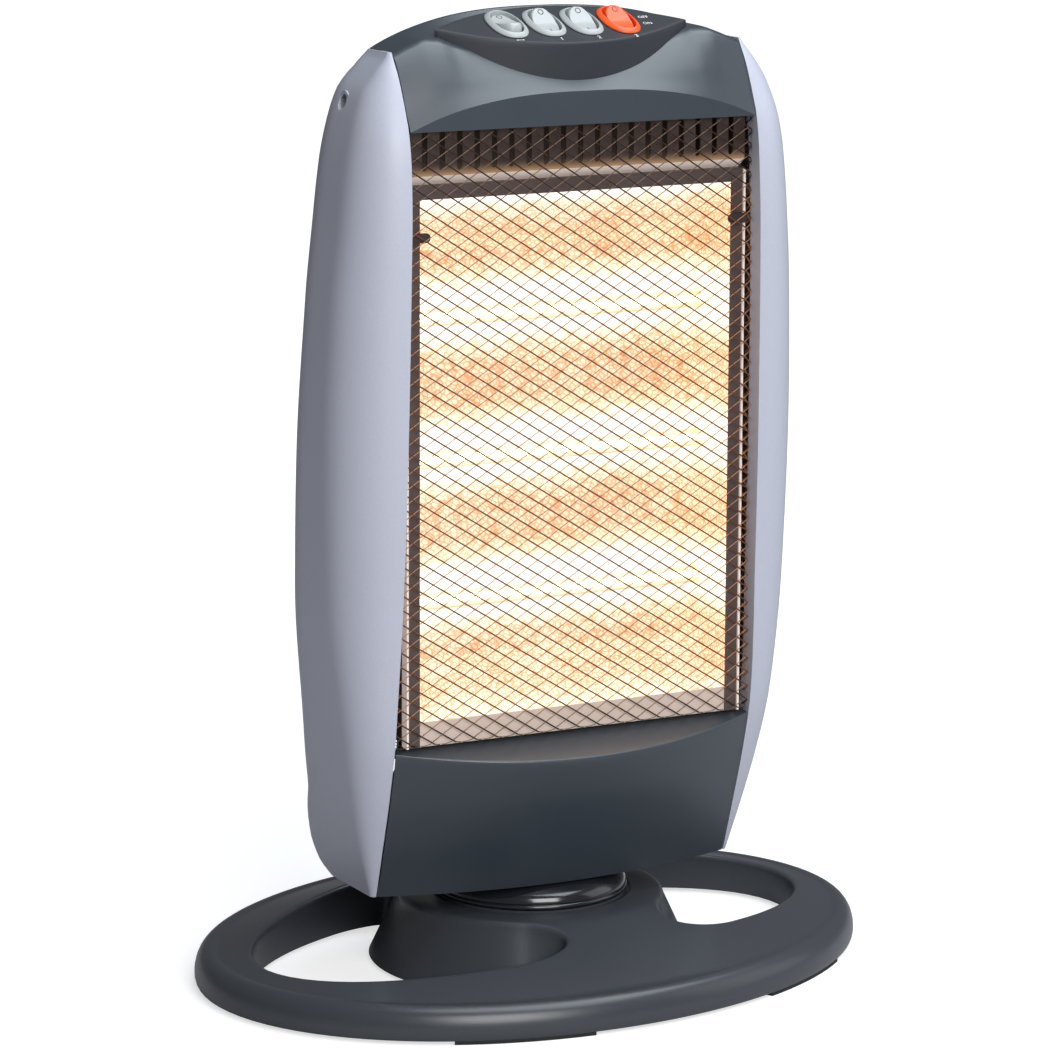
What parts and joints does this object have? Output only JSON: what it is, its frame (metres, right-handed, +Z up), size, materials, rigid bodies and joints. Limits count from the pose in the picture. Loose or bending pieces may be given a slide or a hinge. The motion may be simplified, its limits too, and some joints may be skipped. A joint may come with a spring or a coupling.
{
  "type": "halogen heater",
  "caption": "Free-standing halogen heater: heating head with wire guard, bowed shelf and rocker switches on top, swinging on an oval ring base.",
  "frame": {"origin": "on the floor, on the swing axis of the head, which is the middle of the oval base", "axes": "+X to the right along the base, -Y to the front, +Z up; the head is turned 8.5 degrees clockwise seen from above, as in the picture"},
  "size_m": [0.4, 0.298, 0.5299],
  "materials": {
    "dark_grey_plastic": "satin moulded, fine texture",
    "satin_grey_plastic": "satin moulded",
    "light_grey_plastic": "satin, light lavender grey",
    "gloss_black_plastic": "glossy",
    "switch_grey_plastic": "semi-gloss",
    "orange_plastic": "semi-gloss",
    "black_rubber": "matte",
    "white_nylon": "matte",
    "bright_steel": "plated",
    "zinc_sheet": "plain sheet",
    "brown_wire": "dark brown, semi-gloss",
    "brown_sheet": "heat-tinted dark brown",
    "hammered_reflector": "bright, hammered",
    "quartz_glass": "clear quartz",
    "glowing_filament": "glowing coil",
    "white_ceramic": "matte glaze-free"
  },
  "bodies": {
    "base": {"base_shell": "dark_grey_plastic", "foot_front_left": "black_rubber", "foot_front_right": "black_rubber", "foot_rear_left": "black_rubber", "foot_rear_right": "black_rubber", "glide_ring": "white_nylon", "pivot_bolt": "bright_steel", "pivot_nut": "bright_steel"},
    "head": {"turntable": "gloss_black_plastic", "side_panel_right": "light_grey_plastic", "side_panel_left": "light_grey_plastic", "side_screw_right": "bright_steel", "side_screw_left": "bright_steel", "rear_housing": "dark_grey_plastic", "cord_inlet": "black_rubber", "top_fascia": "satin_grey_plastic", "control_panel": "dark_grey_plastic", "lower_fascia": "satin_grey_plastic", "grille": "brown_wire", "inner_case": "zinc_sheet", "vent_plate": "brown_sheet", "reflector": "hammered_reflector", "reflector_end_right": "brown_sheet", "reflector_end_left": "brown_sheet", "grille_clip_right": "bright_steel", "grille_clip_left": "bright_steel", "floor_plate": "dark_grey_plastic", "motor_bracket": "zinc_sheet", "swing_motor": "zinc_sheet", "tip_switch_body": "white_nylon", "terminal_block": "white_nylon", "thermal_cutout": "white_ceramic", "switch_body_1": "switch_grey_plastic", "switch_body_2": "switch_grey_plastic", "switch_body_3": "switch_grey_plastic", "switch_body_4": "orange_plastic", "tube_glass_1": "quartz_glass", "tube_filament_1": "glowing_filament", "tube_cap_1_right": "white_ceramic", "tube_cap_1_left": "white_ceramic", "tube_glass_2": "quartz_glass", "tube_filament_2": "glowing_filament", "tube_cap_2_right": "white_ceramic", "tube_cap_2_left": "white_ceramic", "tube_glass_3": "quartz_glass", "tube_filament_3": "glowing_filament", "tube_cap_3_right": "white_ceramic", "tube_cap_3_left": "white_ceramic"},
    "crank": {"motor_crank": "bright_steel"},
    "pendulum": {"tip_switch_pendulum": "bright_steel"},
    "rocker_1": {"switch_rocker_1": "switch_grey_plastic"},
    "rocker_2": {"switch_rocker_2": "switch_grey_plastic"},
    "rocker_3": {"switch_rocker_3": "switch_grey_plastic"},
    "rocker_4": {"switch_rocker_4": "orange_plastic"}
  },
  "joints": [
    {"name": "head_swing", "type": "hinge", "parent": "base", "child": "head", "pos_m": [0, 0, 0.0535], "axis": [0, 0, 1], "range_deg": [-26.5, 43.5]},
    {"name": "crank_turn", "type": "hinge", "parent": "head", "child": "crank", "pos_m": [0.00266, 0.0178, 0.045], "axis": [0, 0, 1], "range_deg": [-155.5, 95]},
    {"name": "rocker_1_tilt", "type": "hinge", "parent": "head", "child": "rocker_1", "pos_m": [-0.03701, -0.02436, 0.51806], "axis": [0.989, -0.1478, 0], "range_deg": [0, 28]},
    {"name": "rocker_2_tilt", "type": "hinge", "parent": "head", "child": "rocker_2", "pos_m": [-0.01475, -0.02769, 0.51806], "axis": [0.989, -0.1478, 0], "range_deg": [-28, 0]},
    {"name": "rocker_3_tilt", "type": "hinge", "parent": "head", "child": "rocker_3", "pos_m": [0.0075, -0.03102, 0.51806], "axis": [0.989, -0.1478, 0], "range_deg": [-28, 0]},
    {"name": "rocker_4_tilt", "type": "hinge", "parent": "head", "child": "rocker_4", "pos_m": [0.02975, -0.03434, 0.51806], "axis": [0.989, -0.1478, 0], "range_deg": [-28, 0]},
    {"name": "pendulum_swing", "type": "hinge", "parent": "head", "child": "pendulum", "pos_m": [-0.06607, 0.01796, 0.092], "axis": [0.1478, 0.989, 0], "range_deg": [-15, 15]}
  ],
  "couplings": [
    {"joint": "crank_turn", "follows": "head_swing", "ratio": -3.5714}
  ]
}
